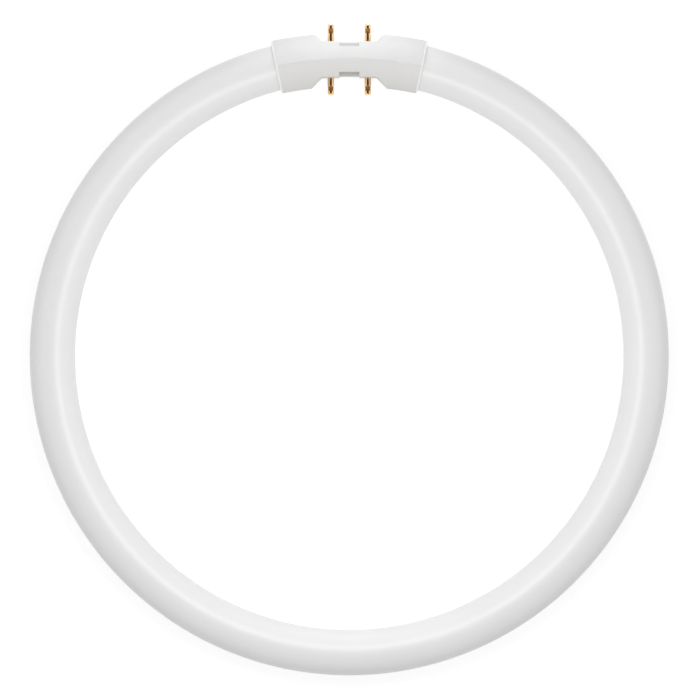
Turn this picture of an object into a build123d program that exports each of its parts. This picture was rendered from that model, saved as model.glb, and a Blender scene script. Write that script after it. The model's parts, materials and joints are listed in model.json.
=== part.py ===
from build123d import *
import os
from math import acos, asin, cos, degrees, radians, sin, sqrt, tan

# Circular LED tube: an opal tube bent to a ring and closed by one four-pin cap.
# The ring lies flat. Its axis is Z, the cap is at +Y, and the origin is the ring's centre.
# All sizes are in millimetres, all angles in degrees.

# Ring
ring_outer_diameter = 225.0
tube_diameter = 16.0
tube_wall = 1.0
tube_gap = 31.0  # straight distance between the two ends of the tube, inside the cap

ring_radius = (ring_outer_diameter - tube_diameter) / 2
tube_radius = tube_diameter / 2
tube_bore_radius = tube_radius - tube_wall

# Light strip on the inner wall of the ring
strip_width = 8.0
strip_thickness = 0.3
strip_wall_gap = 0.2  # side of the strip to the tube's wall
strip_end_length = 4.0  # bare stretch between the end of the tube and the end of the strip
led_count = 72
led_length = 3.5
led_width = 2.8
led_height = 0.7
led_margin = 8.0  # end of the strip to the centre of the first package

# Cap: both halves share a pointed oval section, swept on a wider arc than the ring's own
cap_bend_ratio = 1.2  # radius of the cap's bend to the ring's radius
cap_shift = -0.3  # centre of the cap from the ring's centreline
cap_length = 51.7  # straight distance between the centres of the two mouths
collar_wall = 1.2
bond_thickness = 0.25
bond_inset = 1.0  # distance of the adhesive from the tube's end and from the mouth
section_draft = 0.6  # distance from the parting surface to each flank's centre of curvature
parting_chamfer = 0.12
mouth_chamfer = 0.6
cap_wall = 1.3
tube_stop_thickness = 1.5
tube_stop_lip = 0.4  # how far the stop reaches inside the tube's bore

cap_radius = tube_radius + bond_thickness + collar_wall
cap_bend_radius = cap_bend_ratio * ring_radius
cap_y = ring_radius + cap_shift
cap_bend_y = cap_y - cap_bend_radius
flank_radius = cap_radius + section_draft
cap_half_height = sqrt(flank_radius**2 - section_draft**2)

# Waist, where the lamp holder grips
waist_thickness = 12.5
waist_length = 19.4
shoulder_angle = 48.0
foot_radius = 1.0
waist_edge_radius = 0.5
latch_width = 7.0
latch_channel_depth = 0.4
latch_height = 1.35
outer_latch_sill = 0.65  # depth of the latch pocket below the edge of the flat
inner_latch_sill = 1.3
latch_backing = 1.0

waist_half = waist_thickness / 2
flat_edge = sqrt(flank_radius**2 - (waist_half + section_draft) ** 2)
latch_floors = ((1, flat_edge - outer_latch_sill), (-1, flat_edge - inner_latch_sill))
reach = 3 * cap_radius  # long enough for any cut to clear the cap

# Contact pins
pin_spacing = 13.0
pin_diameter = 2.35
pin_length = 6.3
pin_tip_round = 0.6
pin_root_diameter = 2.8
pin_root_flange_diameter = 3.8
pin_root_flange_thickness = 0.7
pin_tail_diameter = 1.9
pin_tail_length = 0.8
pin_bore_diameter = 1.0
pin_end_wall = 1.2
crimp_from_tip = 2.4
crimp_length = 2.0
crimp_neck_depth = 0.035
crimp_depth = 0.35
crimp_angle = 24.0

# Driver board and the wires
board_length = 24.0
board_width = 12.0
board_thickness = 1.0
board_corner_radius = 1.0
board_clearance = 0.05
board_rib_thickness = 1.0
board_rib_x = 9.8
board_rib_opening = 7.0
lead_diameter = 0.7
lead_offset = 2.2
lead_bend_radius = 0.7
lead_hole_clearance = 0.1
lead_end_length = 0.9
solder_height = 0.7
solder_diameter = 1.6
solder_taper = 30.0
strip_lead_diameter = 1.1
strip_lead_pitch = 3.0
strip_lead_x = 11.2
strip_lead_drop = 1.8
strip_lead_bend = 1.3
strip_lead_approach = 5.0
strip_lead_landing = 3.0  # how far each wire lies along the strip

# Components
package_standoff = 0.1
package_draft = 6.0
package_lead_thickness = 0.2
package_lead_width = 0.45
package_lead_reach = 0.4
rectifier_size = (4.7, 3.4, 2.4)
rectifier_leads = (-1.27, 1.27)
rectifier_z = 2.9
driver_ic_size = (4.9, 3.4, 1.5)
driver_ic_leads = (-1.905, -0.635, 0.635, 1.905)
inductor_side = 4.6
inductor_clearance = 0.2  # to the latch pads of the cap
inductor_chamfer = 0.8
inductor_round = 0.3
inductor_z = 2.9
capacitor_clearance = 0.45  # between the can and the cap's inner wall
capacitor_length = 8.0
capacitor_z = 2.9
capacitor_round = 0.3
capacitor_groove_from_end = 1.6
capacitor_lead_pitch = 1.5
capacitor_lead_reach = 1.0
capacitor_lead_diameter = 0.45
fuse_x = 11.1
fuse_diameter = 1.6
fuse_length = 4.5
fuse_cuff = 0.8
fuse_waist_depth = 0.15
chip_x = 8.3
chip_z = 1.6
chip_width = 1.25
chip_length = 2.0
chip_height = 0.5

# Snap tongues of the inner shell
tongue_width = 9.0
tongue_thickness = 1.0
tongue_slack = 0.83  # room between the tongue and the crown of the void
tongue_overlap = 0.3  # how far the root runs into its own latch pad
tongue_clearance = 0.4  # end of the tongue to the latch pad of the other shell
barb_height = 0.75
barb_length = 1.1
barb_clearance = 0.2

os.makedirs("parts", exist_ok=True)
ring_axis = Axis((0, 0, 0), (0, 0, 1))
cap_axis = Axis((0, cap_bend_y, 0), (0, 0, 1))


def save(name, label):
    """Label a finished piece and write it to its own file."""
    name.part.label = label
    export_step(name.part, f"parts/{label}.step")


def upright(axis_y, angle):
    """Upright plane through (0, axis_y), with x running outward at an angle clockwise from +Y."""
    turn = radians(angle)
    outward = (sin(turn), cos(turn), 0)
    return Plane(origin=(0, axis_y, 0), x_dir=outward, z_dir=(cos(turn), -sin(turn), 0))


def ring_angle(half_chord):
    """Angle from +Y to a point of the ring's centreline that far to the side."""
    return degrees(asin(half_chord / ring_radius))


def cap_angle(half_chord):
    """Angle from +Y, about the cap's bend axis, to a point of its centreline that far to the side."""
    return degrees(asin(half_chord / cap_bend_radius))


def along_ring(length):
    """Angle that a length takes along the ring's centreline."""
    return degrees(length / ring_radius)


tube_end = ring_angle(tube_gap / 2)
strip_end = tube_end + along_ring(strip_end_length)
mouth = cap_angle(cap_length / 2)
void_end = cap_angle(tube_gap / 2 - tube_stop_thickness)


def half_section(side):
    """Draw one half of the cap's section, outward of the parting surface for side 1."""
    spread = degrees(acos((section_draft + parting_chamfer) / flank_radius))
    centre = (cap_bend_radius - side * section_draft, 0)
    start = -spread if side > 0 else 180 - spread
    with BuildSketch(upright(cap_bend_y, mouth)) as section:
        with BuildLine():
            flank = CenterArc(centre, flank_radius, start, 2 * spread)
            top = max((flank @ 0).Y, (flank @ 1).Y) - parting_chamfer
            seam = [(cap_bend_radius, side * top), (cap_bend_radius, -side * top)]
            Polyline(flank @ 1, *seam, flank @ 0)
        make_face()
    return section.sketch


def waist_outline(side, grow, rounding=0):
    """Outline of the air beside the waist, grown by a wall where the void is cut."""
    level = waist_half - grow
    foot = waist_length / 2 + grow * tan(radians(shoulder_angle / 2))
    far = level + cap_radius
    run = cap_radius / tan(radians(shoulder_angle))
    corners = [(-foot - run, far), (-foot, level), (foot, level), (foot + run, far)]
    with BuildSketch(Plane.XY.offset(-reach)) as outline:
        with BuildLine():
            Polyline([(x, cap_y + side * y) for x, y in corners], close=True)
        make_face()
        if rounding:
            feet = outline.vertices().sort_by(Axis.Y, reverse=side < 0)[0:2]
            fillet(feet, rounding)
    return outline.sketch


def ring_disc(angle, radius):
    """Disc on the ring's centreline, at an angle clockwise from +Y."""
    with BuildSketch(upright(0, angle)) as disc:
        with Locations((ring_radius, 0)):
            Circle(radius)
    return disc.sketch


# Room for the driver inside the cap, and a passage through each tube stop
void_radius = flank_radius - cap_wall
passage_radius = tube_bore_radius - tube_stop_lip
passage_reach = along_ring(2 * tube_stop_thickness)
latch_bottom = waist_half - latch_channel_depth - latch_height
pad_bottom = latch_bottom - latch_backing
void_crown = sqrt(void_radius**2 - section_draft**2)
rib_depth = waist_half - board_thickness / 2 - board_clearance
rib_height = cap_half_height - board_rib_opening / 2

with BuildPart() as cap_void:
    with BuildSketch(upright(cap_bend_y, void_end)):
        with Locations((cap_bend_radius - section_draft, 0)):
            Circle(void_radius)
        with Locations((cap_bend_radius + section_draft, 0)):
            Circle(void_radius, mode=Mode.INTERSECT)
    revolve(axis=cap_axis, revolution_arc=2 * void_end)
    for start in (tube_end, passage_reach - tube_end):
        revolve(ring_disc(start, passage_radius), axis=ring_axis, revolution_arc=passage_reach)
    for side, latch_floor in latch_floors:
        extrude(waist_outline(side, cap_wall), amount=2 * reach, mode=Mode.SUBTRACT)
        # Ribs that hold the board, open in the middle for the wires
        rib_y = cap_y + side * (waist_half - rib_depth / 2)
        with Locations((0, rib_y, 0)):
            with GridLocations(2 * board_rib_x, 1, 2, 1):
                with Locations((0, 0, board_rib_opening / 2), (0, 0, -cap_half_height)):
                    Box(
                        board_rib_thickness,
                        rib_depth,
                        rib_height,
                        align=(Align.CENTER, Align.CENTER, Align.MIN),
                        mode=Mode.SUBTRACT,
                    )
        # Thick pads behind the latch pockets
        pad_y = cap_y + side * (pad_bottom + waist_half) / 2
        pad_z = latch_floor - latch_backing
        with Locations((0, pad_y, pad_z), (0, pad_y, -pad_z - cap_half_height)):
            Box(
                latch_width + 2 * latch_backing,
                waist_half - pad_bottom,
                cap_half_height,
                align=(Align.CENTER, Align.CENTER, Align.MIN),
                mode=Mode.SUBTRACT,
            )

# All that is cut out of the two halves together
with BuildPart() as cap_air:
    add(cap_void.part)
    seat_radius = tube_radius + bond_thickness
    seat_end = 2 * mouth
    for start in (seat_end, -tube_end):
        revolve(ring_disc(start, seat_radius), axis=ring_axis, revolution_arc=seat_end - tube_end)
    for side, latch_floor in latch_floors:
        with Locations((0, cap_y + side * waist_half, 0)):
            Box(latch_width, 2 * latch_channel_depth, 2 * reach)
        latch_y = cap_y + side * (latch_bottom + waist_half) / 2
        with Locations((0, latch_y, latch_floor), (0, latch_y, -latch_floor - cap_half_height)):
            Box(
                latch_width,
                waist_half - latch_bottom,
                cap_half_height,
                align=(Align.CENTER, Align.CENTER, Align.MIN),
            )
    with BuildSketch(Plane.XZ.offset(-cap_y)):
        with GridLocations(pin_spacing, 1, 2, 1):
            Circle(pin_root_diameter / 2)
    extrude(amount=waist_thickness, both=True)


def mouth_rims(shell):
    """Outer edges of the two mouths, where the flank meets the flat ends of the collar."""
    rims = shell.edges().filter_by(GeomType.CIRCLE)
    return rims.filter_by(lambda rim: abs(rim.radius - flank_radius) < 0.001)


def waist_rims(shell):
    """Closed chain of edges where the flat and the two shoulders meet the flank."""
    curved = shell.edges().filter_by(GeomType.BSPLINE)
    return curved.filter_by(lambda edge: abs(edge.center().X) < waist_length)


def cap_half(side):
    """One half of the cap before it is hollowed out, with its mouths and its waist shaped."""
    with BuildPart() as half:
        revolve(half_section(side), axis=cap_axis, revolution_arc=2 * mouth)
        chamfer(mouth_rims(half), mouth_chamfer)
        extrude(waist_outline(side, 0, foot_radius), amount=2 * reach, mode=Mode.SUBTRACT)
        fillet(waist_rims(half), waist_edge_radius)
    return half.part


# Snap tongues reach from the inner shell past the parting surface
tongue_root = pad_bottom + tongue_overlap
tongue_reach = pad_bottom - tongue_clearance
tongue_top = void_crown - tongue_slack
tongue_floor = tongue_top - tongue_thickness
barb_start = tongue_reach - barb_length

# Outer shell of the cap
with BuildPart() as cap_outer_shell:
    add(cap_half(1))
    add(cap_air.part, mode=Mode.SUBTRACT)
    # Pockets that catch the barbs of the tongues
    pocket_z = tongue_top + barb_height / 2
    pocket_y = cap_y + tongue_reach - barb_length / 2
    with Locations((0, pocket_y, pocket_z), (0, pocket_y, -pocket_z)):
        Box(
            tongue_width + 2 * barb_clearance,
            barb_length + 2 * barb_clearance,
            barb_height + 2 * barb_clearance,
            mode=Mode.SUBTRACT,
        )
save(cap_outer_shell, "cap_outer_shell")

# Inner shell of the cap, with a snap tongue at the front and one at the back
with BuildPart() as cap_inner_shell:
    add(cap_half(-1))
    add(cap_air.part, mode=Mode.SUBTRACT)
    with BuildSketch(Plane.YZ.offset(-tongue_width / 2)) as tongue:
        with BuildLine():
            Polyline(
                (cap_y - tongue_root, tongue_floor),
                (cap_y + tongue_reach, tongue_floor),
                (cap_y + tongue_reach, tongue_top - barb_height / 2),
                (cap_y + barb_start, tongue_top + barb_height),
                (cap_y + barb_start, tongue_top),
                (cap_y - barb_clearance, tongue_top),
                (cap_y - barb_clearance, cap_half_height - cap_wall / 2),
                (cap_y - tongue_root, cap_half_height - cap_wall),
                close=True,
            )
        make_face()
        mirror(about=Plane.XZ)
    extrude(amount=tongue_width)
save(cap_inner_shell, "cap_inner_shell")

# Opal tube
with BuildPart() as opal_tube:
    with BuildSketch(upright(0, -tube_end)):
        with Locations((ring_radius, 0)):
            Circle(tube_radius)
            Circle(tube_bore_radius, mode=Mode.SUBTRACT)
    revolve(axis=ring_axis, revolution_arc=360 - 2 * tube_end)
save(opal_tube, "opal_tube")

# Bed of silicone between the strip and the inner wall of the ring
bed_half_width = strip_width / 2 + strip_wall_gap
bed_depth = sqrt(tube_bore_radius**2 - bed_half_width**2)
bed_spread = degrees(asin(bed_half_width / tube_bore_radius))
strip_back = ring_radius - bed_depth
strip_face = strip_back + strip_thickness
strip_arc = 360 - 2 * strip_end

with BuildPart() as strip_bond:
    with BuildSketch(upright(0, -strip_end)):
        with BuildLine():
            bed = CenterArc((ring_radius, 0), tube_bore_radius, 180 - bed_spread, 2 * bed_spread)
            Line(bed @ 1, bed @ 0)
        make_face()
    revolve(axis=ring_axis, revolution_arc=strip_arc)
save(strip_bond, "strip_bond")

# Flexible board, bent round on the bed
with BuildPart() as led_strip:
    with BuildSketch(upright(0, -strip_end)):
        with Locations((strip_back, 0)):
            Rectangle(strip_thickness, strip_width, align=(Align.MIN, Align.CENTER))
    revolve(axis=ring_axis, revolution_arc=strip_arc)
save(led_strip, "led_strip")

# Packages on the strip, facing outward
led_start = strip_end + along_ring(led_margin)
with BuildPart() as led_packages:
    with PolarLocations(
        strip_face,
        led_count,
        start_angle=90 + led_start,
        angular_range=360 - 2 * led_start,
        endpoint=True,
    ):
        Box(led_height, led_length, led_width, align=(Align.MIN, Align.CENTER, Align.CENTER))
save(led_packages, "led_packages")

# Adhesive sleeves that hold the tube's ends in the collars
bond_near = ring_angle(tube_gap / 2 + bond_inset)
bond_far = ring_angle(cap_length / 2 - bond_inset)
for hand, start in (("left", -bond_near), ("right", bond_far)):
    with BuildPart() as tube_bond:
        with BuildSketch(upright(0, start)):
            with Locations((ring_radius, 0)):
                Circle(tube_radius + bond_thickness)
                Circle(tube_radius, mode=Mode.SUBTRACT)
        revolve(axis=ring_axis, revolution_arc=bond_far - bond_near)
    save(tube_bond, f"tube_bond_{hand}")

# Driver board across the cap, with a hole for each pin's lead
board_face_outer = Plane((0, cap_y + board_thickness / 2, 0), x_dir=(1, 0, 0), z_dir=(0, 1, 0))
board_face_inner = Plane((0, cap_y - board_thickness / 2, 0), x_dir=(1, 0, 0), z_dir=(0, -1, 0))

with BuildPart() as driver_board:
    with BuildSketch(board_face_inner):
        RectangleRounded(board_length, board_width, board_corner_radius)
        with GridLocations(pin_spacing, 2 * lead_offset, 2, 2):
            Circle(lead_diameter / 2 + lead_hole_clearance, mode=Mode.SUBTRACT)
    extrude(amount=-board_thickness)
save(driver_board, "driver_board")


# Contact pins: hollow, flanged inside the wall, staked on their leads near the tip
def contact_pin(x, side):
    """Pin at one side of the cap's middle plane, outward for side 1 and inward for side -1."""
    radius = pin_diameter / 2
    bore = pin_bore_diameter / 2
    tail = pin_tail_diameter / 2
    flange = pin_root_flange_diameter / 2
    root = pin_root_diameter / 2
    neck = radius - crimp_neck_depth
    tip = waist_half + pin_length
    seat = waist_half - cap_wall
    tail_start = seat - pin_root_flange_thickness
    tail_end = tail_start - pin_tail_length
    crimp = tip - crimp_from_tip
    with BuildPart() as pin:
        with BuildSketch(Plane((x, cap_y, 0), x_dir=(1, 0, 0), z_dir=(0, 0, side))):
            with BuildLine():
                Polyline(
                    (0, tip),
                    (0, tip - pin_end_wall),
                    (bore, tip - pin_end_wall),
                    (bore, tail_end),
                    (tail, tail_end),
                    (tail, tail_start),
                    (flange, tail_start),
                    (flange, seat),
                    (root, seat),
                    (root, waist_half),
                    (radius, waist_half),
                    (radius, crimp - crimp_length / 2),
                )
                neck_end = (radius, crimp + crimp_length / 2)
                ThreePointArc((radius, crimp - crimp_length / 2), (neck, crimp), neck_end)
                Line(neck_end, (radius, tip - pin_tip_round))
                shoulder = (radius - pin_tip_round, tip - pin_tip_round)
                nose = CenterArc(shoulder, pin_tip_round, 0, 90)
                Line(nose @ 1, (0, tip))
            make_face()
        revolve(axis=Axis((x, cap_y, 0), (0, 1, 0)))
        # Staking marks at the front and the back
        with BuildSketch(Plane((x, cap_y, 0), x_dir=(0, side, 0), z_dir=(1, 0, 0))):
            floor = radius - crimp_depth
            half_mark = 2 * crimp_depth / tan(radians(crimp_angle))
            for face in (1, -1):
                with BuildLine():
                    Polyline(
                        (crimp, face * floor),
                        (crimp + half_mark, face * (floor + 2 * crimp_depth)),
                        (crimp - half_mark, face * (floor + 2 * crimp_depth)),
                        close=True,
                    )
                make_face()
        extrude(amount=radius, both=True, mode=Mode.SUBTRACT)
    return pin


def pin_lead(x, side):
    """Bare wire from a pin's staking mark to its hole in the board, with the solder round its end."""
    tip = waist_half + pin_length
    tail_end = waist_half - cap_wall - pin_root_flange_thickness - pin_tail_length
    board_side = board_thickness / 2
    rise = side * lead_offset
    lead_plane = Plane((x, cap_y, 0), x_dir=(0, side, 0), z_dir=(side, 0, 0))
    with BuildPart() as lead:
        with BuildLine(lead_plane) as route:
            FilletPolyline(
                (tip - pin_end_wall, 0),
                (tail_end - lead_bend_radius / 2, 0),
                (board_side + lead_bend_radius, rise),
                (-board_side - lead_end_length, rise),
                radius=lead_bend_radius,
            )
        with BuildSketch(Plane(route.line @ 0, z_dir=route.line % 0)):
            Circle(lead_diameter / 2)
        sweep()
        solder_y = cap_y - side * board_side
        with BuildSketch(Plane((x, solder_y, rise), x_dir=(1, 0, 0), z_dir=(0, -side, 0))):
            Circle(solder_diameter / 2)
        extrude(amount=solder_height, taper=solder_taper)
    return lead


for hand, x in (("left", -pin_spacing / 2), ("right", pin_spacing / 2)):
    for name, side in (("outer", 1), ("inner", -1)):
        save(contact_pin(x, side), f"pin_{name}_{hand}")
        save(pin_lead(x, side), f"pin_lead_{name}_{hand}")


# Insulated wires from the end of the board, through the right tube stop, onto the strip
def strip_lead(z):
    """Wire in a plane parallel to the ring, bent to lie along the strip's face."""
    wire_radius = strip_lead_diameter / 2
    landing = radians(strip_end + along_ring(strip_lead_landing))
    lie = strip_face + wire_radius
    end_x = lie * sin(landing)
    end_y = lie * cos(landing)
    approach = strip_lead_approach
    with BuildPart() as lead:
        with BuildLine(Plane.XY.offset(z)) as route:
            FilletPolyline(
                (strip_lead_x, cap_y - board_thickness / 2),
                (strip_lead_x, cap_y - board_thickness / 2 - strip_lead_drop),
                (end_x - approach * cos(landing), end_y + approach * sin(landing)),
                (end_x, end_y),
                radius=strip_lead_bend,
            )
        with BuildSketch(Plane(route.line @ 0, z_dir=route.line % 0)):
            Circle(wire_radius)
        sweep()
    return lead


for name, z in (("positive", strip_lead_pitch / 2), ("negative", -strip_lead_pitch / 2)):
    save(strip_lead(z), f"strip_lead_{name}")


# Components on the driver board
def moulded_package(face, centre, size, lead_xs):
    """Moulded body with gull-wing leads along its two long sides, standing on a board face."""
    width, depth, height = size
    base = Plane(face.from_local_coords(centre), x_dir=face.x_dir, z_dir=face.z_dir)
    with BuildPart() as package:
        with BuildSketch(base.offset(package_standoff)):
            Rectangle(width, depth)
        extrude(amount=height - package_standoff, taper=package_draft)
        for lead_x in lead_xs:
            foot = Plane(base.from_local_coords((lead_x, 0, 0)), x_dir=base.y_dir, z_dir=base.x_dir)
            with BuildSketch(foot):
                with BuildLine():
                    level = package_lead_thickness / 2
                    Polyline(
                        (depth / 2 - package_lead_reach, height / 2),
                        (depth / 2 + package_lead_reach / 2, height / 2),
                        (depth / 2 + package_lead_reach, level),
                        (depth / 2 + 2 * package_lead_reach, level),
                    )
                trace(line_width=package_lead_thickness)
                mirror(about=Plane.YZ)
            extrude(amount=package_lead_width / 2, both=True)
    return package


save(
    moulded_package(board_face_outer, (0, -rectifier_z, 0), rectifier_size, rectifier_leads),
    "bridge_rectifier",
)
save(
    moulded_package(board_face_outer, (0, rectifier_z, 0), driver_ic_size, driver_ic_leads),
    "driver_ic",
)

# Shielded inductor
inductor_height = pad_bottom - board_thickness / 2 - inductor_clearance
with BuildPart() as power_inductor:
    with BuildSketch(board_face_inner):
        with Locations((0, -inductor_z)):
            core = Rectangle(inductor_side, inductor_side)
        chamfer(core.vertices(), inductor_chamfer)
    extrude(amount=inductor_height)
    fillet(power_inductor.faces().sort_by(Axis.Y)[0].edges(), inductor_round)
save(power_inductor, "power_inductor")

# Electrolytic capacitor lying on the board, with its crimped end and its two wires
capacitor_diameter = waist_half - cap_wall - board_thickness / 2 - capacitor_clearance
capacitor_plane = Plane(
    board_face_inner.from_local_coords((0, capacitor_z, capacitor_diameter / 2)),
    x_dir=(1, 0, 0),
    z_dir=(0, -1, 0),
)
with BuildPart() as buffer_capacitor:
    with BuildSketch(capacitor_plane):
        with BuildLine():
            can = capacitor_diameter / 2
            half = capacitor_length / 2
            groove = half - capacitor_groove_from_end
            Polyline(
                (-half, 0),
                (-half, can - capacitor_round),
                (-half + capacitor_round, can),
                (groove - capacitor_round, can),
                (groove, can - capacitor_round),
                (groove + capacitor_round, can),
                (half - capacitor_round / 2, can),
                (half, can - capacitor_round / 2),
                (half, 0),
                close=True,
            )
        make_face()
    revolve(axis=Axis(capacitor_plane.origin, (1, 0, 0)))
    for z in (capacitor_lead_pitch / 2, -capacitor_lead_pitch / 2):
        wire_plane = Plane(
            capacitor_plane.from_local_coords((0, z, 0)), x_dir=(1, 0, 0), z_dir=(0, 0, 1)
        )
        with BuildLine(wire_plane) as wire:
            FilletPolyline(
                (half - capacitor_round, 0),
                (half + capacitor_lead_reach, 0),
                (half + capacitor_lead_reach, can),
                radius=capacitor_lead_reach / 2,
            )
        with BuildSketch(Plane(wire.line @ 0, z_dir=wire.line % 0)):
            Circle(capacitor_lead_diameter / 2)
        sweep()
save(buffer_capacitor, "buffer_capacitor")

# Fuse resistor across the left end of the board
fuse_plane = Plane(
    board_face_inner.from_local_coords((-fuse_x, 0, fuse_diameter / 2)),
    x_dir=(0, 0, 1),
    z_dir=(0, -1, 0),
)
with BuildPart() as fuse_resistor:
    with BuildSketch(fuse_plane):
        with BuildLine():
            cuff = fuse_diameter / 2
            Polyline(
                (-fuse_length / 2, 0),
                (-fuse_length / 2, cuff),
                (-fuse_length / 2 + fuse_cuff, cuff),
                (-fuse_length / 2 + fuse_cuff, cuff - fuse_waist_depth),
                (fuse_length / 2 - fuse_cuff, cuff - fuse_waist_depth),
                (fuse_length / 2 - fuse_cuff, cuff),
                (fuse_length / 2, cuff),
                (fuse_length / 2, 0),
                close=True,
            )
        make_face()
    revolve(axis=Axis(fuse_plane.origin, (0, 0, 1)))
save(fuse_resistor, "fuse_resistor")

# Chip resistors beside the pins' leads
with BuildPart() as chip_resistors:
    with BuildSketch(board_face_outer):
        with GridLocations(2 * chip_x, 2 * chip_z, 2, 2):
            Rectangle(chip_width, chip_length)
    extrude(amount=chip_height)
save(chip_resistors, "chip_resistors")
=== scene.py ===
# %% [markdown]
# # Circular LED tube
# The lamp is an opal glass tube of 16 mm, bent to a ring 225 mm across and closed by a moulded cap with four
# brass pins. It lies flat, as it does on a bench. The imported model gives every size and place, and this script
# gives the pieces their looks. The model is loaded first, because all that follows is measured from it.

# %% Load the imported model
import json
from math import asin, atan2, cos, pi, radians, sin, sqrt, tan

import bmesh
import bpy
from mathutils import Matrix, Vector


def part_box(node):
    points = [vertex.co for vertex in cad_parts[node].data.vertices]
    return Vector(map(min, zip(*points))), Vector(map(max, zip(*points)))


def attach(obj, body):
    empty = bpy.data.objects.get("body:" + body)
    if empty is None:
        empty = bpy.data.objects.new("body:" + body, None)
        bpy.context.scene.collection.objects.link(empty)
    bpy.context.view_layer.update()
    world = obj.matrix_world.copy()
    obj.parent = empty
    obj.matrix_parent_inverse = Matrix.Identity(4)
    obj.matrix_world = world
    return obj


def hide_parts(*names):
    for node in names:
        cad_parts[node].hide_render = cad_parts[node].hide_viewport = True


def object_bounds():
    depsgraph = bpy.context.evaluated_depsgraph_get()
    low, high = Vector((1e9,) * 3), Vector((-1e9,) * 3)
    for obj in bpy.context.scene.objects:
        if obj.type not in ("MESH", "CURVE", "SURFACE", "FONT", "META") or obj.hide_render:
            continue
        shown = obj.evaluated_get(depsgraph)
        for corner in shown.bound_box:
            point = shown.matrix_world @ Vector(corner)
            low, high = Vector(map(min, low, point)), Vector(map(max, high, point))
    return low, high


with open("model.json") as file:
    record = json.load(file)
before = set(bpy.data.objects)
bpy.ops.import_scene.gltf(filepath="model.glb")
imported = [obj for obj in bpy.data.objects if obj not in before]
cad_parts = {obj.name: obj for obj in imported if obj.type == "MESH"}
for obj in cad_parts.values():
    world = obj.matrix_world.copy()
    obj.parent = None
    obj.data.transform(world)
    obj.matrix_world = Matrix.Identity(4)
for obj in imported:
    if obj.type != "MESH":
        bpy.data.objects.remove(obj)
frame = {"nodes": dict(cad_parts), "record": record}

cad_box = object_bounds()
nodes = frame["nodes"]
print(len(nodes), "nodes in a box from", [round(v, 5) for v in cad_box[0]], "to", [round(v, 5) for v in cad_box[1]])

# %% [markdown]
# ## Millimetres and driving sizes
# Blender works in metres and a maker thinks in millimetres, so one factor turns one into the other. The sizes
# below are the ones the looks depend on. The ring's radius is taken from the tube's box in the model. The tube's
# own radius and its straight gap could be measured on its mesh too, but stated sizes are easier to read, and a
# print gives the ring radius and the tube's height in the model.

# %% Sizes
mm = 0.001
tube_outer_radius = 8 * mm
tube_wall = 1 * mm
outer_low, outer_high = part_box("opal_tube")
ring_radius = -outer_low.y - tube_outer_radius
tube_gap = 31 * mm
half_gap_angle = asin(tube_gap / 2 / ring_radius)
cap_y = ring_radius - 0.3 * mm  # the cap's section sits a little inside the ring's centreline
pin_x = 6.5 * mm  # from the middle of the cap to the axis of a pin
print("ring radius", round(ring_radius / mm, 3), "mm, tube height", round((outer_high.z - outer_low.z) / mm, 3), "mm")

# %% [markdown]
# ## Camera
# The photograph looks straight down on the lamp with the cap at the top. Both mouths of the cap are seen alike,
# and the latch pockets show next to no wall below them, so the lens was very long and centred. A long lens at
# the distance that gives the photograph's scale keeps the slight perspective that a flat projection would lose.

# %% Camera
photo_width = 700
pixel_size = 0.35203 * mm
ring_centre_pixel = (349.3, 355.8)
lens = 400
sensor = 36

camera = bpy.data.objects.new("camera", bpy.data.cameras.new("camera"))
bpy.context.scene.collection.objects.link(camera)
camera.data.lens = lens
camera.data.sensor_width = sensor
camera.data.clip_start = 0.01
camera_height = photo_width * pixel_size * lens / sensor
camera.location = (
    (photo_width / 2 - ring_centre_pixel[0]) * pixel_size,
    (ring_centre_pixel[1] - photo_width / 2) * pixel_size,
    camera_height,
)
bpy.context.scene.camera = camera
print("camera", round(camera_height, 3), "m above the ring's mid-plane")

# %% [markdown]
# ## Helpers for colours and nodes
# Colours are written as sRGB hex values, the way a colour picker shows them, but shaders count in linear light,
# so one function converts them. A second function adds a node, sets it and links it in one call, which keeps
# each material short enough to read as a recipe. A third tells rays apart, because a white background has to
# look white without lighting the object as much as it looks.

# %% Helpers
def linear(hex_colour):
    """Linear RGBA of an sRGB hex colour."""
    channels = [int(hex_colour[i : i + 2], 16) / 255 for i in (1, 3, 5)]
    return [c / 12.92 if c <= 0.04045 else ((c + 0.055) / 1.055) ** 2.4 for c in channels] + [1]


def add(tree, kind, inputs=None, **settings):
    """Adds a node to a tree, and fills or links its inputs."""
    node = tree.nodes.new(kind)
    for name, value in settings.items():
        setattr(node, name, value)
    for name, value in (inputs or {}).items():
        if isinstance(value, bpy.types.NodeSocket):
            tree.links.new(value, node.inputs[name])
        else:
            node.inputs[name].default_value = value
    return node


def any_ray(tree, *kinds):
    """1 for a ray of one of these kinds, such as "Camera", and 0 for any other."""
    path = add(tree, "ShaderNodeLightPath")
    found = path.outputs[f"Is {kinds[0]} Ray"]
    for kind in kinds[1:]:
        other = path.outputs[f"Is {kind} Ray"]
        found = add(tree, "ShaderNodeMath", {0: found, 1: other}, operation="MAXIMUM").outputs[0]
    return found


print("white in linear light", linear("#FFFFFF"))

# %% [markdown]
# ## Light and floor
# The photograph was taken on pure white, with soft light from all round, a lamp over the ring's centre, and a
# little more light from the side of the cap. A world that is plain white would light the ring as evenly as
# paper and hide its roundness, so the world is dimmer than white and brighter towards +Y, and one round lamp
# over the centre gives the soft streak along the tube. Rays that only look see plain white. Rays that are
# mirrored see white walls and a dim brown ceiling, which gives the polished brass its dark stripe.

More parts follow.
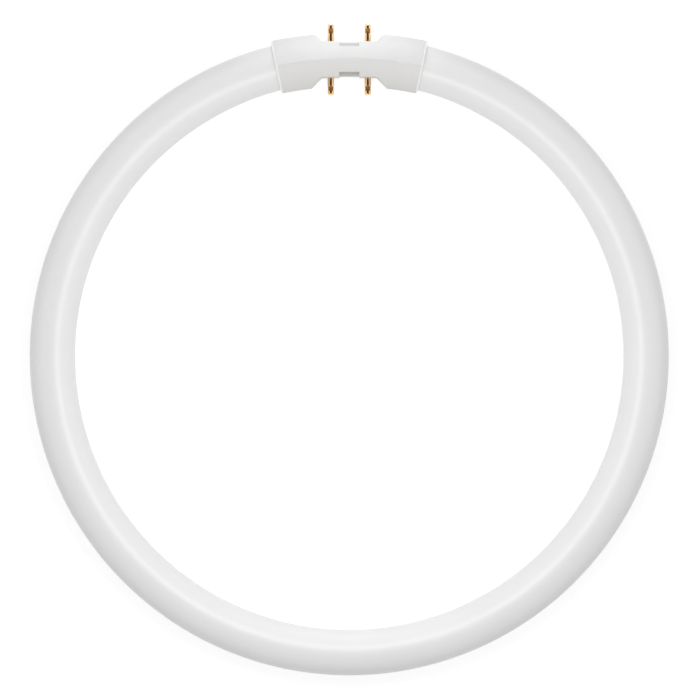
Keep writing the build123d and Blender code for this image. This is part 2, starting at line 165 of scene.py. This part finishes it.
# %% World
horizon_level = 0.50
zenith_level = 0.91
side_change = 0.20
mirrored_ceiling = "#4A2008"
ceiling_edge, ceiling_full = 0.62, 0.88
world = bpy.data.worlds.new("soft_studio")
bpy.context.scene.world = world
world.use_nodes = True
sky = world.node_tree
sky.nodes.clear()
direction = add(sky, "ShaderNodeTexCoord").outputs["Generated"]
split = add(sky, "ShaderNodeSeparateXYZ", {0: direction})
upward = add(sky, "ShaderNodeMapRange", {0: split.outputs["Z"], 3: horizon_level, 4: zenith_level})
forward = add(sky, "ShaderNodeMath", {0: split.outputs["Y"], 1: side_change}, operation="MULTIPLY")
level = add(sky, "ShaderNodeMath", {0: upward.outputs[0], 1: forward.outputs[0]}, operation="ADD")
room = add(sky, "ShaderNodeBackground", {"Color": linear("#FFFFFF"), "Strength": level.outputs[0]})
white = add(sky, "ShaderNodeBackground", {"Color": linear("#FFFFFF"), "Strength": 1.0})
overhead = add(sky, "ShaderNodeMapRange", {0: split.outputs["Z"], 1: ceiling_edge, 2: ceiling_full})
indoors = add(
    sky,
    "ShaderNodeMix",
    {0: overhead.outputs[0], 6: linear("#FFFFFF"), 7: linear(mirrored_ceiling)},
    data_type="RGBA",
)
walls = add(sky, "ShaderNodeBackground", {"Color": indoors.outputs[2], "Strength": 1.0})
looked = any_ray(sky, "Camera", "Transmission")
seen = add(sky, "ShaderNodeMixShader", {0: looked, 1: room.outputs[0], 2: white.outputs[0]})
mirrored = add(sky, "ShaderNodeMixShader", {0: any_ray(sky, "Glossy"), 1: seen.outputs[0], 2: walls.outputs[0]})
add(sky, "ShaderNodeOutputWorld", {"Surface": mirrored.outputs[0]})
print("world level", horizon_level, "to", zenith_level, "plus or minus", side_change)

# %% Lamp over the ring's centre
def softbox(name, place, watts, **settings):
    """Area lamp that lights the object and that the camera doesn't see."""
    data = bpy.data.lights.new(name, "AREA")
    data.energy = watts
    for setting, value in settings.items():
        setattr(data, setting, value)
    box = bpy.data.objects.new(name, data)
    box.location = place
    box.visible_camera = False
    bpy.context.scene.collection.objects.link(box)
    print(name, "of", watts, "W,", round(place[2], 3), "m high")
    return box


softbox("round_softbox", (0, 0, 0.215), 0.155, shape="DISK", size=0.10)

# %% [markdown]
# In the photograph the outer half of the cap grows brighter towards the pins, which no even light does. More
# light from that whole side would spoil the shading of the ring, so a small softbox with a grid on it stands
# behind the cap. The grid keeps its beam on the cap, and its low place keeps it off the top of the cap.

# %% Gridded lamp behind the cap
grid_distance = 0.13
grid_height = 0.022
beam = radians(30)
gridded = softbox(
    "gridded_softbox",
    (0, ring_radius + grid_distance, grid_height),
    0.0031,
    shape="RECTANGLE",
    size=0.05,
    size_y=0.03,
    spread=beam,
)
gridded.rotation_euler.x = -atan2(grid_distance, grid_height)

# %% [markdown]
# The lamp lies on white paper that runs on far past it. A ray that looks at the paper, straight or in a mirror,
# sees dim paper with a white glow of its own, so the ground is white and still shows the lamp's shadow. A ray
# that only carries light meets plain pale paper, which lights the object from below as paper does.

# %% Floor
floor_size = 24  # in metres, so that no view reaches its edge
own_glow = 0.75
bpy.ops.mesh.primitive_plane_add(size=floor_size, location=(0, 0, cad_box[0].z))
floor = bpy.context.object
floor.name = "floor"
paper = bpy.data.materials.new("white_table_paper")
paper.use_nodes = True
sheet = paper.node_tree
sheet.nodes.clear()
bounce = add(sheet, "ShaderNodeBsdfDiffuse", {"Color": linear("#EDEDED")})
faint = add(sheet, "ShaderNodeBsdfDiffuse", {"Color": linear("#A0A0A0")})
glow = add(sheet, "ShaderNodeEmission", {"Color": linear("#FFFFFF"), "Strength": own_glow})
lit = add(sheet, "ShaderNodeAddShader", {0: faint.outputs[0], 1: glow.outputs[0]})
looked = any_ray(sheet, "Camera", "Glossy", "Transmission")
floor_seen = add(sheet, "ShaderNodeMixShader", {0: looked, 1: bounce.outputs[0], 2: lit.outputs[0]})
add(sheet, "ShaderNodeOutputMaterial", {"Surface": floor_seen.outputs[0]})
floor.data.materials.append(paper)
print("floor at", round(cad_box[0].z / mm, 3), "mm")

bpy.context.scene.view_settings.view_transform = "Standard"

# %% [markdown]
# ## One recipe for a made surface
# No moulded, drawn or painted surface is one flat colour. Its colour drifts a little over some millimetres, and
# a much finer grain catches the light. Both could be painted as images, but noise in the object's own
# coordinates needs no seams and has a real size. The recipe takes those sizes in millimetres, and each material
# after it adds what is its own.

# %% Recipe
def surface(name, light, dark, mottle, grain, relief, roughness, spread=0.08, stretch=(1, 1, 1), **shader_inputs):
    """Material with a colour that drifts over `mottle` mm and a bump of `relief` mm at `grain` mm."""
    material = bpy.data.materials.new(name)
    material.use_nodes = True
    tree = material.node_tree
    tree.nodes.clear()
    place = add(tree, "ShaderNodeTexCoord").outputs["Object"]
    drift = add(tree, "ShaderNodeTexNoise", {"Vector": place, "Scale": 1 / (mottle * mm), "Detail": 3.0})
    colour = add(tree, "ShaderNodeMix", {0: drift.outputs[0], 6: linear(light), 7: linear(dark)}, data_type="RGBA")
    drawn = add(tree, "ShaderNodeMapping", {"Vector": place, "Scale": stretch})
    fine = add(tree, "ShaderNodeTexNoise", {"Vector": drawn.outputs[0], "Scale": 1 / (grain * mm), "Detail": 2.0})
    rough = add(tree, "ShaderNodeMapRange", {0: fine.outputs[0], 3: roughness - spread, 4: roughness + spread})
    bump = add(tree, "ShaderNodeBump", {"Strength": 1.0, "Distance": relief * mm, "Height": fine.outputs[0]})
    shader = add(
        tree,
        "ShaderNodeBsdfPrincipled",
        {"Base Color": colour.outputs[2], "Roughness": rough.outputs[0], "Normal": bump.outputs[0]},
    )
    for socket, value in shader_inputs.items():
        shader.inputs[socket.replace("_", " ")].default_value = value
    add(tree, "ShaderNodeOutputMaterial", {"Surface": shader.outputs[0]})
    print(name, "drifts over", mottle, "mm, grain", grain, "mm")
    return material


finishes = {}

# %% [markdown]
# ## Opal glass
# The tube is glass with a fine white powder coat on its inner wall. Its outer skin is fire polished, so it
# mirrors softly, and the light that goes in spreads in the coat before it comes out. Real refraction through a
# millimetre of glass would cost time and show the strip inside, which the photograph doesn't. White with
# scattering under a smooth skin looks the same and keeps the inside hidden.

# %% Opal glass
finishes["opal_tube"] = surface(
    "opal_coated_glass",
    "#E9E9E9",
    "#E5E5E5",
    mottle=14,
    grain=1.2,
    relief=0.004,
    roughness=0.37,
    spread=0.03,
    IOR=1.52,
    Subsurface_Weight=0.2,
    Subsurface_Radius=(1, 1, 1),
    Subsurface_Scale=1.0 * mm,
)

# %% [markdown]
# ## Moulded white plastic
# The cap's two halves are injection moulded in a white polyester that stands heat. The mould was spark eroded
# to a fine satin, so the plastic has a grain of a few tenths of a millimetre and a wide, weak shine. A faint
# warm drift in its white comes from the filler. The inner half is given a slightly greyer white than the outer
# one, which is painted shade for the half that faces away from the light. Bump alone is right here, because the
# grain is far too shallow to change an outline.

# %% Moulded white plastic
satin = {"mottle": 6, "grain": 0.35, "relief": 0.006, "roughness": 0.6, "Specular_IOR_Level": 0.25}
finishes["cap_outer_shell"] = surface("moulded_white_polyester", "#E0E0E0", "#DCDCDC", **satin)
# Painted shade: the inner half gets a greyer white than the outer half.
finishes["cap_inner_shell"] = surface("moulded_polyester_with_painted_shade", "#DFDEDC", "#DAD9D7", **satin)

# %% [markdown]
# ## Places painted lighter or darker
# The rims of the mouths are painted lighter, as a painted highlight, the floor of a latch pocket darker, as
# painted shade, and the marks on the pins darker, as a painted reflection. They could be painted on an image,
# but each has a known place, so a mask worked out from the object's own coordinates finds it exactly and needs
# no image.

# %% Helpers for masks
def coordinates(material):
    """X, Y and Z of the object's own coordinates, in a material's tree."""
    place = add(material.node_tree, "ShaderNodeTexCoord").outputs["Object"]
    return add(material.node_tree, "ShaderNodeSeparateXYZ", {0: place}).outputs


def near(tree, tests):
    """Mask of the points whose coordinates, on either side of zero, lie within a reach of a middle value."""
    mask = 1.0
    for coordinate, middle, reach in tests:
        size = add(tree, "ShaderNodeMath", {0: coordinate}, operation="ABSOLUTE")
        close = add(tree, "ShaderNodeMath", {0: size.outputs[0], 1: middle, 2: reach}, operation="COMPARE")
        mask = add(tree, "ShaderNodeMath", {0: close.outputs[0], 1: mask}, operation="MULTIPLY").outputs[0]
    return mask


def repaint(material, mask, hex_colour):
    """Gives the masked points of a material another colour."""
    tree = material.node_tree
    painted = tree.nodes["Principled BSDF"].inputs["Base Color"]
    before = painted.links[0].from_socket
    mixed = add(tree, "ShaderNodeMix", {0: mask, 6: before, 7: linear(hex_colour)}, data_type="RGBA")
    tree.links.new(mixed.outputs[2], painted)
    print(material.name, "is", hex_colour, "where its mask is 1")


# %% [markdown]
# The rims of the two mouths were shaped by a polished ring of the mould, so they are smoother than the satin.
# Their whiter colour is a painted highlight, for the light that these edges catch. They could be pieces of
# their own, but then each would need a seam. A mask does it: the cap is swept about one bend axis, so the angle
# about that axis says how near a point is to a mouth.

# %% Polished rims at the mouths, with a painted highlight
bend_radius = 125.4 * mm
cap_length = 51.7 * mm
rim_width = 0.6 * mm
rim_blur = 0.1 * mm
mouth_angle = asin(cap_length / 2 / bend_radius)
rim_start = mouth_angle - (rim_width + rim_blur) / bend_radius
rim_full = mouth_angle - (rim_width - rim_blur) / bend_radius
# Painted highlight: the rims get a whiter colour than the plastic, and a smoother finish.
for shell in ("cap_outer_shell", "cap_inner_shell"):
    tree = finishes[shell].node_tree
    x, y, _ = coordinates(finishes[shell])
    ahead = add(tree, "ShaderNodeMath", {0: y, 1: cap_y - bend_radius}, operation="SUBTRACT")
    angle = add(tree, "ShaderNodeMath", {0: x, 1: ahead.outputs[0]}, operation="ARCTAN2")
    either = add(tree, "ShaderNodeMath", {0: angle.outputs[0]}, operation="ABSOLUTE")
    rim = add(tree, "ShaderNodeMapRange", {0: either.outputs[0], 1: rim_start, 2: rim_full}).outputs[0]
    repaint(finishes[shell], rim, "#FCFCFA")
    roughness = tree.nodes["Principled BSDF"].inputs["Roughness"]
    smoother = add(tree, "ShaderNodeMix", {0: rim, 2: roughness.links[0].from_socket, 3: 0.3})
    tree.links.new(smoother.outputs[0], roughness)
print("rims", rim_width / mm, "mm wide, mouths at", round(mouth_angle * 180 / pi, 2), "degrees")

# %% [markdown]
# The inner latch pocket is a deep slot that a screwdriver reaches into. Its floor is painted a darker grey,
# which is painted shade for the shade that falls into the slot. The floor is flat, so a thin band of heights
# within the slot's own outline is enough to find it.

# %% Painted shade in the inner latch pocket
pocket_floor = 6.1 * mm
pocket_depth = 2 * mm
pocket_y = cap_y - 4.3 * mm - pocket_depth
x, y, z = coordinates(finishes["cap_inner_shell"])
pocket_shade = near(
    finishes["cap_inner_shell"].node_tree,
    ((x, 0, 3.6 * mm), (y, pocket_y, pocket_depth), (z, pocket_floor, 0.15 * mm)),
)
# Painted shade: the pocket's floor gets a darker grey than the plastic.
repaint(finishes["cap_inner_shell"], pocket_shade, "#BDBBB7")
print("pocket floor", round(pocket_floor / mm, 2), "mm from the ring's mid-plane")

# %% [markdown]
# ## Drawn brass
# Each pin is drawn from brass sheet and polished, so it has faint rings round it from the tool. Stretching the
# grain across the pin's length gives those rings. Brass takes its look from what it mirrors: white walls and
# table at its sides, and the dim brown ceiling along its top.

# %% Drawn brass
finishes["pin_brass"] = surface(
    "drawn_brass",
    "#FBE2BA",
    "#F3D09C",
    mottle=1.5,
    grain=0.3,
    relief=0.0005,
    roughness=0.14,
    spread=0.03,
    stretch=(0.3, 3, 0.3),
    Metallic=1.0,
)

# %% [markdown]
# ## Finishes inside the cap and the tube
# These pieces are hidden once the lamp is shut, and seen when it is opened. Each has the finish that its trade
# gives it: solder mask on boards, epoxy on packages, lacquer on the resistor, tin on the wires. The same recipe
# serves all of them, with the grain and shine of each.

# %% Boards and packages
# Solder mask screened on in white: even and half matt, so that it throws the light back.
finishes["strip_board"] = surface(
    "white_solder_mask", "#F2F2EE", "#E6E6E0", mottle=5, grain=0.2, relief=0.004, roughness=0.45
)
# Solder mask in green over copper: a little glossy, with the weave of the board just felt.
finishes["driver_board"] = surface(
    "green_solder_mask", "#1E6B3A", "#15502B", mottle=2.5, grain=0.4, relief=0.01, roughness=0.35, IOR=1.55
)
# White nylon, moulded round the lead frame: warm white, smooth and half matt.
finishes["led_package"] = surface(
    "white_moulded_nylon", "#F4F1E6", "#E9E4D4", mottle=1.5, grain=0.15, relief=0.003, roughness=0.4
)
# Black epoxy, moulded in a blasted tool: dark grey and matt.
finishes["black_package"] = surface(
    "black_epoxy_compound", "#1B1B1C", "#262627", mottle=1.0, grain=0.08, relief=0.004, roughness=0.6
)
# Resistor paste under a fired glass glaze: black and shiny.
finishes["chip_body"] = surface(
    "glazed_thick_film", "#17181A", "#24262A", mottle=0.8, grain=0.1, relief=0.002, roughness=0.25, IOR=1.5
)

# %% Coil, capacitor and resistor
# Ferrite powder, pressed and sintered: grey like graphite, with a dry, rough face.
finishes["ferrite"] = surface(
    "pressed_ferrite", "#3A3A3D", "#2A2A2C", mottle=1.2, grain=0.12, relief=0.01, roughness=0.7
)
# Aluminium, deep drawn: a bright metal with a soft shine.
finishes["capacitor_can"] = surface(
    "drawn_aluminium", "#C9CBCE", "#B9BBBF", mottle=2, grain=0.15, relief=0.002, roughness=0.3, Metallic=1.0
)
# Cement lacquer, dipped and baked: a pale green skin with a low gloss.
finishes["resistor_body"] = surface(
    "green_cement_lacquer", "#8FAF9A", "#7D9F8A", mottle=1.2, grain=0.2, relief=0.008, roughness=0.4, IOR=1.5
)

# %% Wires, solder and silicone
# Copper wire drawn through molten tin: a pale metal with blurred reflections.
finishes["tinned_wire"] = surface(
    "tinned_copper", "#C8C8C6", "#B4B4B4", mottle=1, grain=0.15, relief=0.003, roughness=0.25, Metallic=1.0
)
# Silicone rubber, extruded in red: even in colour and slightly waxy.
finishes["red_insulation"] = surface(
    "red_silicone_rubber", "#B3241E", "#9C1C18", mottle=1.5, grain=0.15, relief=0.004, roughness=0.55
)
# The same rubber in black.
finishes["black_insulation"] = surface(
    "black_silicone_rubber", "#1A1A1A", "#242424", mottle=1.5, grain=0.15, relief=0.004, roughness=0.55
)
# Silicone sealant, squeezed out and cured: milky white, wet looking and soft at its edges.
finishes["silicone"] = surface(
    "white_cured_silicone",
    "#E9E9E4",
    "#DEDED8",
    mottle=3,
    grain=0.3,
    relief=0.01,
    roughness=0.3,
    IOR=1.43,
    Subsurface_Weight=0.3,
    Subsurface_Scale=1.0 * mm,
)

# %% Give every CAD piece its finish
for part in frame["record"]["subparts"]:
    piece = nodes[part["node"]]
    piece.data.materials.clear()
    piece.data.materials.append(finishes.get(part["node"]) or finishes[part["material_slot"]])

# %% [markdown]
# ## Contact pins
# Each pin is drawn from brass sheet, flanged inside the cap's wall, and staked on its wire with a punch from the
# front and from the back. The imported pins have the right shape, but polished brass would mirror each of their few
# facets as a stripe. So they are turned again: a profile is spun in many small steps, and the punch presses the
# skin down to two slopes. A screw modifier could spin it too, but the press needs the height of each ring.

# %% Sizes of a pin, in millimetres from the cap's middle
pin_radius = 1.175
pin_tip = 12.55
nose_radius = 0.6
mark_place = pin_tip - 2.4
mark_floor = pin_radius - 0.35
mark_slope = tan(radians(24))
neck_depth = 0.035
waist_half = 6.25
root_radius = 1.4
wall_inside = waist_half - 1.3
flange_radius = 1.9
flange_end = wall_inside - 0.7
tail_radius = 0.95
tail_end = flange_end - 0.8
bore_radius = 0.5
bore_end = pin_tip - 1.2
print("pin stands", round(pin_tip - waist_half, 2), "mm out of the flat")

# %% [markdown]
# The marks are painted a darker brown than the brass. This is a painted reflection: it stands for the dim light
# that the slopes of a mark mirror. A mask finds the marks by three tests: beside the axis of a pin, high on
# its front or back, and near the place of the mark.

# %% Painted reflection in the punch marks
x, y, z = coordinates(finishes["pin_brass"])
along = add(finishes["pin_brass"].node_tree, "ShaderNodeMath", {0: y, 1: cap_y}, operation="SUBTRACT").outputs[0]
painted_mark_reflection = near(
    finishes["pin_brass"].node_tree,
    ((x, pin_x, 0.8 * mm), (z, 1.0 * mm, 0.25 * mm), (along, mark_place * mm, 0.8 * mm)),
)
# Painted reflection: the punch marks get a darker brown than the brass.
repaint(finishes["pin_brass"], painted_mark_reflection, "#9C6C3E")
print("marks", round(mark_place, 2), "mm from the cap's middle")

# %% Profile of a pin
quarter = [k * pi / 16 for k in range(9)]
nose_x = pin_radius - nose_radius
nose = [(nose_x + nose_radius * sin(a), pin_tip - nose_radius * (1 - cos(a))) for a in quarter]
across_neck = [1 - k / 12 for k in range(25)]
neck = [(pin_radius - neck_depth * (1 - u * u), mark_place + u) for u in across_neck]
root = [(pin_radius, waist_half), (root_radius, waist_half), (root_radius, wall_inside)]
flange = [(flange_radius, wall_inside), (flange_radius, flange_end)]
tail = [(tail_radius, flange_end), (tail_radius, tail_end)]
hollow = [(bore_radius, tail_end), (bore_radius, bore_end), (0, bore_end)]
pin_profile = [(0, pin_tip)] + nose + neck + root + flange + tail + hollow
print(len(pin_profile), "points from the tip round to the end of the bore")


# %% Turn the four pins
def turned_pin(name, x, side, steps=48):
    """Pin at x, outward for side 1 and inward for side -1, with a punch mark at its front and its back."""
    shape = bmesh.new()
    rings = []
    for radius, height in pin_profile:
        pressed = mark_floor + mark_slope * abs(height - mark_place)
        y = cap_y + side * height * mm
        ring = []
        for k in range(steps if radius else 1):
            angle = 2 * pi * k / steps
            z = max(-pressed, min(pressed, radius * sin(angle)))
            ring.append(shape.verts.new((x + radius * cos(angle) * mm, y, z * mm)))
        rings.append(ring)
    for upper, lower in zip(rings, rings[1:]):
        for k in range(steps):
            corners = [ring[j % len(ring)] for ring, j in ((upper, k), (upper, k + 1), (lower, k + 1), (lower, k))]
            shape.faces.new(dict.fromkeys(corners))
    bmesh.ops.recalc_face_normals(shape, faces=shape.faces)
    mesh = bpy.data.meshes.new(name)
    shape.to_mesh(mesh)
    shape.free()
    mesh.shade_smooth()
    mesh.set_sharp_from_angle(angle=radians(20))
    mesh.materials.append(finishes["pin_brass"])
    pin = bpy.data.objects.new(name, mesh)
    bpy.context.scene.collection.objects.link(pin)
    print(name, "has", len(mesh.polygons), "faces")
    return pin


for hand, x in (("left", -pin_x), ("right", pin_x)):
    for place, side in (("outer", 1), ("inner", -1)):
        pin = turned_pin(f"contact_{place}_{hand}", x, side)
        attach(pin, "root")
        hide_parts(f"pin_{place}_{hand}")

# %% [markdown]
# ## Geometry Nodes in a script
# The tube follows an arc and the light packages repeat along it, so both are made by node trees whose inputs
# are sizes. A tree is only a recipe: a bare object carries it, its inputs are filled by their identifiers, and
# the evaluated result is copied to a plain mesh. The copy has no modifier left, so other programs can read it.
# Extrude Mesh leaves the place it starts from open, so one helper closes it with the first sheet, turned over.

# %% Start, end and run a tree
def new_tree(name, sizes):
    """Geometry tree with named inputs; gives the tree and its input node's outputs."""
    tree = bpy.data.node_groups.new(name, "GeometryNodeTree")
    for label, kind in sizes.items():
        tree.interface.new_socket(label, in_out="INPUT", socket_type=f"NodeSocket{kind}")
    tree.interface.new_socket("Geometry", in_out="OUTPUT", socket_type="NodeSocketGeometry")
    return tree, add(tree, "NodeGroupInput").outputs


def sealed(tree, raised, sheet_side):
    """Closes a skin raised from a sheet: the sheet is turned over, joined to it and merged with it."""
    under = add(tree, "GeometryNodeFlipFaces", {"Mesh": sheet_side})
    both = add(tree, "GeometryNodeJoinGeometry", {"Geometry": raised})
    tree.links.new(under.outputs[0], both.inputs[0])
    return add(tree, "GeometryNodeMergeByDistance", {"Geometry": both.outputs[0], "Distance": 0.001 * mm}).outputs[0]


def end_tree(tree, geometry, material):
    """Turns instances into plain mesh, gives it its material and hands it out."""
    plain = add(tree, "GeometryNodeRealizeInstances", {"Geometry": geometry})
    coated = add(tree, "GeometryNodeSetMaterial", {"Geometry": plain.outputs[0], "Material": material})
    add(tree, "NodeGroupOutput", {"Geometry": coated.outputs[0]})
    print(tree.name, "tree has", len(tree.nodes), "nodes")


def made_by(tree, name, values):
    """Plain mesh object that the tree makes from these input values."""
    carrier = bpy.data.objects.new(name + "_carrier", bpy.data.meshes.new(name))
    bpy.context.scene.collection.objects.link(carrier)
    modifier = carrier.modifiers.new("recipe", "NODES")
    modifier.node_group = tree
    for item in tree.interface.items_tree:
        if item.in_out == "INPUT":
            modifier[item.identifier] = values[item.name]
    evaluated = carrier.evaluated_get(bpy.context.evaluated_depsgraph_get())
    piece = bpy.data.objects.new(name, bpy.data.meshes.new_from_object(evaluated))
    bpy.context.scene.collection.objects.link(piece)
    bpy.data.objects.remove(carrier)
    print(name, "has", len(piece.data.polygons), "faces")
    return piece


# %% [markdown]
# ## The bent tube
# A glass worker draws a straight tube and bends it round a former, so its section is a circle all along an arc.
# Turning a profile round an axis with a screw modifier would do, but a tree says it more plainly: sweep the
# bore along the arc, push its skin outward by the wall, and close the two ends. The model's own tube is made of
# coarse triangles, so this smooth one stands for it.

# %% Tree for the bent tube
bent_tube, given = new_tree(
    "bent_tube",
    {
        "Ring Radius": "Float",
        "Start Angle": "Float",
        "Sweep Angle": "Float",
        "Bore Radius": "Float",
        "Wall": "Float",
        "Steps Along": "Int",
        "Steps Round": "Int",
        "Material": "Material",
    },
)
arc = add(
    bent_tube,
    "GeometryNodeCurveArc",
    {
        "Resolution": given["Steps Along"],
        "Radius": given["Ring Radius"],
        "Start Angle": given["Start Angle"],
        "Sweep Angle": given["Sweep Angle"],
    },
)
bore = add(
    bent_tube,
    "GeometryNodeCurvePrimitiveCircle",
    {"Resolution": given["Steps Round"], "Radius": given["Bore Radius"]},
)
skin = add(bent_tube, "GeometryNodeCurveToMesh", {"Curve": arc.outputs[0], "Profile Curve": bore.outputs[0]})
pushed = add(
    bent_tube,
    "GeometryNodeExtrudeMesh",
    {"Mesh": skin.outputs[0], "Offset Scale": given["Wall"], "Individual": False},
)
closed = sealed(bent_tube, pushed.outputs[0], skin.outputs[0])
smooth = add(bent_tube, "GeometryNodeSetShadeSmooth", {"Geometry": closed})
end_tree(bent_tube, smooth.outputs[0], given["Material"])

# %% The tube itself
tube = made_by(
    bent_tube,
    "opal_glass_tube",
    {
        "Ring Radius": ring_radius,
        "Start Angle": pi / 2 + half_gap_angle,
        "Sweep Angle": 2 * pi - 2 * half_gap_angle,
        "Bore Radius": tube_outer_radius - tube_wall,
        "Wall": tube_wall,
        "Steps Along": 360,
        "Steps Round": 64,
        "Material": finishes["opal_tube"],
    },
)
polish = tube.modifiers.new("fire_polish", "BEVEL")
polish.width = 0.25 * mm
polish.segments = 3
polish.limit_method = "ANGLE"
polish.angle_limit = radians(60)
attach(tube, "root")
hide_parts("opal_tube")
print("tube spans", [round(v / mm, 2) for v in tube.dimensions])

# %% [markdown]
# ## Light packages and their pads
# Seventy-two packages sit on the strip inside the tube. Each has a window of yellow phosphor in its outer face
# and a tinned pad at each end, where it is soldered. Modelling one and copying it by hand would be slow to change,
# and an array modifier bends its copies, so a tree sets rounded plates on an arc, each turned to face outward.

# %% Sizes of the light strip
led_count = 72
led_length = 3.5 * mm
led_face_radius = 99.9 * mm
strip_face_radius = 99.2 * mm
bare_end = 4 * mm  # of the tube, before the strip starts
led_margin = 8 * mm  # from the end of the strip to the first package
first_led_angle = half_gap_angle + (bare_end + led_margin) / ring_radius
corner_radius = sqrt(led_face_radius**2 + (led_length / 2) ** 2)
corners = [vertex.co.xy.length for vertex in nodes["led_packages"].data.vertices]
print("package corners reach", round(max(corners) / mm, 3), "mm, expected", round(corner_radius / mm, 3), "mm")

# %% Tree for plates along an arc
plate_row, given = new_tree(
    "plates_along_arc",
    {
        "Count": "Int",
        "Arc Radius": "Float",
        "Start Angle": "Float",
        "Sweep Angle": "Float",
        "Side Shift": "Float",
        "Plate Length": "Float",
        "Plate Width": "Float",
        "Plate Height": "Float",
        "Corner Radius": "Float",
        "Material": "Material",
    },
)
outline = add(
    plate_row,
    "GeometryNodeCurvePrimitiveQuadrilateral",
    {"Width": given["Plate Length"], "Height": given["Plate Width"]},
)
rounded = add(
    plate_row,
    "GeometryNodeFilletCurve",
    {"Curve": outline.outputs[0], "Count": 3, "Radius": given["Corner Radius"]},
    mode="POLY",
)
sheet_face = add(plate_row, "GeometryNodeFillCurve", {"Curve": rounded.outputs[0]}, mode="NGONS")
raised = add(
    plate_row,
    "GeometryNodeExtrudeMesh",
    {"Mesh": sheet_face.outputs[0], "Offset Scale": given["Plate Height"], "Individual": False},
)
crowned = add(
    plate_row,
    "GeometryNodeScaleElements",
    {"Geometry": raised.outputs["Mesh"], "Selection": raised.outputs["Top"], "Scale": 0.94},
)
plate = sealed(plate_row, crowned.outputs[0], sheet_face.outputs[0])
level_place = add(plate_row, "ShaderNodeCombineXYZ", {1: given["Side Shift"], 0: given["Arc Radius"]})
stood = add(
    plate_row,
    "GeometryNodeTransform",
    {"Geometry": plate, "Translation": level_place.outputs[0], "Rotation": (pi / 2, 0, pi / 2)},
)
number = add(plate_row, "GeometryNodeInputIndex")
gaps = add(plate_row, "ShaderNodeMath", {0: given["Count"], 1: 1.0}, operation="SUBTRACT")
step = add(plate_row, "ShaderNodeMath", {0: given["Sweep Angle"], 1: gaps.outputs[0]}, operation="DIVIDE")
turn = add(
    plate_row,
    "ShaderNodeMath",
    {0: number.outputs[0], 1: step.outputs[0], 2: given["Start Angle"]},
    operation="MULTIPLY_ADD",
)
facing = add(plate_row, "ShaderNodeCombineXYZ", {2: turn.outputs[0]})
places = add(plate_row, "GeometryNodeMeshLine", {"Count": given["Count"], "Offset": (0, 0, 0)})
row = add(
    plate_row,
    "GeometryNodeInstanceOnPoints",
    {"Points": places.outputs[0], "Instance": stood.outputs[0], "Rotation": facing.outputs[0]},
)
end_tree(plate_row, row.outputs[0], given["Material"])

# %% [markdown]
# ## Phosphor
# The window is clear silicone filled with yellow phosphor powder, poured level in the package. The powder gives
# it a matt, slightly speckled yellow, so it has a short grain and a broad shine.

# %% Phosphor
phosphor = surface(
    "phosphor_filled_silicone",
    "#F2CE4A",
    "#E8BE3A",
    mottle=0.5,
    grain=0.06,
    relief=0.002,
    roughness=0.35,
    IOR=1.43,
    Subsurface_Weight=0.2,
    Subsurface_Scale=0.3 * mm,
)

# %% Windows and pads
# Name, radius of the arc, then in mm the side shift, length, width, height and corner, then finish and slot
plates = (
    ("led_phosphor_windows", led_face_radius, 0, 2.7, 2.0, 0.04, 0.5, phosphor, "led_package"),
    ("led_pads_anode", strip_face_radius, 2.05, 0.55, 2.4, 0.05, 0.12, finishes["tinned_wire"], "tinned_wire"),
    ("led_pads_cathode", strip_face_radius, -2.05, 0.55, 2.4, 0.05, 0.12, finishes["tinned_wire"], "tinned_wire"),
)
for name, radius, shift, length, width, height, corner, finish, slot in plates:
    piece = made_by(
        plate_row,
        name,
        {
            "Count": led_count,
            "Arc Radius": radius,
            "Start Angle": pi / 2 + first_led_angle,
            "Sweep Angle": 2 * pi - 2 * first_led_angle,
            "Side Shift": shift * mm,
            "Plate Length": length * mm,
            "Plate Width": width * mm,
            "Plate Height": height * mm,
            "Corner Radius": corner * mm,
            "Material": finish,
        },
    )
    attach(piece, "root")
